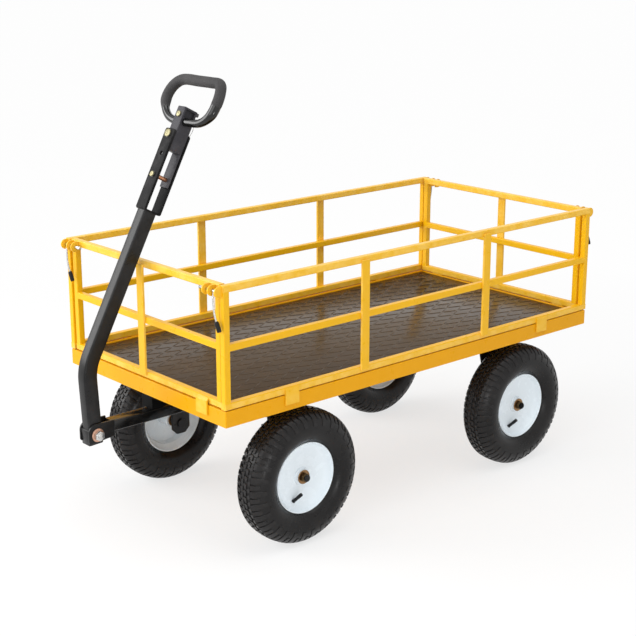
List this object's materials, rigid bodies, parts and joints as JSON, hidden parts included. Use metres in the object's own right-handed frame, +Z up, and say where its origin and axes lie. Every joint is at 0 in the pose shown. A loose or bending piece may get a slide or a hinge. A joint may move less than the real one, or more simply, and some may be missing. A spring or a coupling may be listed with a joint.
{
  "type": "steel utility wagon",
  "caption": "Four-wheeled steel garden wagon with a shallow bed, removable tube side panels, pneumatic tyres, steered front wheels and a folding pull handle.",
  "frame": {"origin": "on the floor under the middle of the overall length and width, handle upright", "axes": "+X forward to the handle, +Y to the wagon's left, +Z up"},
  "size_m": [1.4414, 0.6406, 1.0864],
  "materials": {
    "yellow": "semi-gloss yellow powder coat",
    "black": "satin black powder coat",
    "white": "semi-gloss white enamel",
    "rubber": "black tyre rubber",
    "zinc": "zinc plated steel",
    "liner": "dark brown moulded liner with a diamond pattern",
    "foam": "black cellular foam"
  },
  "bodies": {
    "bed": {"bed_tray": "yellow", "deck_liner": "liner", "underframe": "black", "drawbar_pin": "zinc", "front_axle_beam": "black", "rear_axle_frame": "black", "axle_nut_rear_left": "zinc", "axle_nut_rear_right": "zinc", "side_panel_left": "yellow", "side_panel_right": "yellow", "end_panel_front": "yellow", "end_panel_rear": "yellow", "latch_front_left": "zinc", "latch_front_right": "zinc", "latch_rear_left": "zinc", "latch_rear_right": "zinc"},
    "drawbar": {"drawbar": "black", "drawbar_ear_left": "black", "drawbar_ear_right": "black", "pivot_bolt": "zinc"},
    "handle": {"handle_tube": "black", "fork_plate_front": "black", "fork_plate_rear": "black", "fork_bolt": "zinc", "hitch_pin": "zinc", "grip_head": "black", "grip_loop": "black", "grip_foam": "foam"},
    "knuckle_left": {"knuckle_left": "black", "steering_arm_left": "black", "axle_nut_front_left": "zinc"},
    "tie_rod_left": {"tie_rod_left": "black"},
    "knuckle_right": {"knuckle_right": "black", "steering_arm_right": "black", "axle_nut_front_right": "zinc"},
    "tie_rod_right": {"tie_rod_right": "black"},
    "wheel_front_left": {"tyre_front_left": "rubber", "rim_front_left": "white", "hub_front_left": "zinc"},
    "wheel_front_right": {"tyre_front_right": "rubber", "rim_front_right": "white", "hub_front_right": "zinc"},
    "wheel_rear_left": {"tyre_rear_left": "rubber", "rim_rear_left": "white", "hub_rear_left": "zinc"},
    "wheel_rear_right": {"tyre_rear_right": "rubber", "rim_rear_right": "white", "hub_rear_right": "zinc"}
  },
  "joints": [
    {"name": "steer", "type": "hinge", "parent": "bed", "child": "drawbar", "pos_m": [0.52414, 0, 0.288], "axis": [0, 0, 1], "range_deg": [-25, 25]},
    {"name": "fold", "type": "hinge", "parent": "drawbar", "child": "handle", "pos_m": [0.69414, 0, 0.2925], "axis": [0, 1, 0], "range_deg": [0, 125]},
    {"name": "steer_left", "type": "hinge", "parent": "bed", "child": "knuckle_left", "pos_m": [0.30214, 0.18, 0.269], "axis": [0, 0, 1], "range_deg": [-25, 25]},
    {"name": "swing_tie_rod_left", "type": "hinge", "parent": "drawbar", "child": "tie_rod_left", "pos_m": [0.43414, 0.016, 0.3323], "axis": [0, 0, 1], "range_deg": [-25, 25]},
    {"name": "steer_right", "type": "hinge", "parent": "bed", "child": "knuckle_right", "pos_m": [0.30214, -0.18, 0.269], "axis": [0, 0, 1], "range_deg": [-25, 25]},
    {"name": "swing_tie_rod_right", "type": "hinge", "parent": "drawbar", "child": "tie_rod_right", "pos_m": [0.43414, -0.016, 0.3323], "axis": [0, 0, 1], "range_deg": [-25, 25]},
    {"name": "spin_front_left", "type": "hinge", "parent": "knuckle_left", "child": "wheel_front_left", "pos_m": [0.30214, 0.26675, 0.165], "axis": [0, 1, 0], "continuous": true},
    {"name": "spin_front_right", "type": "hinge", "parent": "knuckle_right", "child": "wheel_front_right", "pos_m": [0.30214, -0.26675, 0.165], "axis": [0, 1, 0], "continuous": true},
    {"name": "spin_rear_left", "type": "hinge", "parent": "bed", "child": "wheel_rear_left", "pos_m": [-0.46386, 0.26675, 0.165], "axis": [0, 1, 0], "continuous": true},
    {"name": "spin_rear_right", "type": "hinge", "parent": "bed", "child": "wheel_rear_right", "pos_m": [-0.46386, -0.26675, 0.165], "axis": [0, 1, 0], "continuous": true}
  ],
  "couplings": [
    {"joint": "steer_left", "follows": "steer", "ratio": 1},
    {"joint": "swing_tie_rod_left", "follows": "steer", "ratio": -1},
    {"joint": "steer_right", "follows": "steer", "ratio": 1},
    {"joint": "swing_tie_rod_right", "follows": "steer", "ratio": -1}
  ]
}
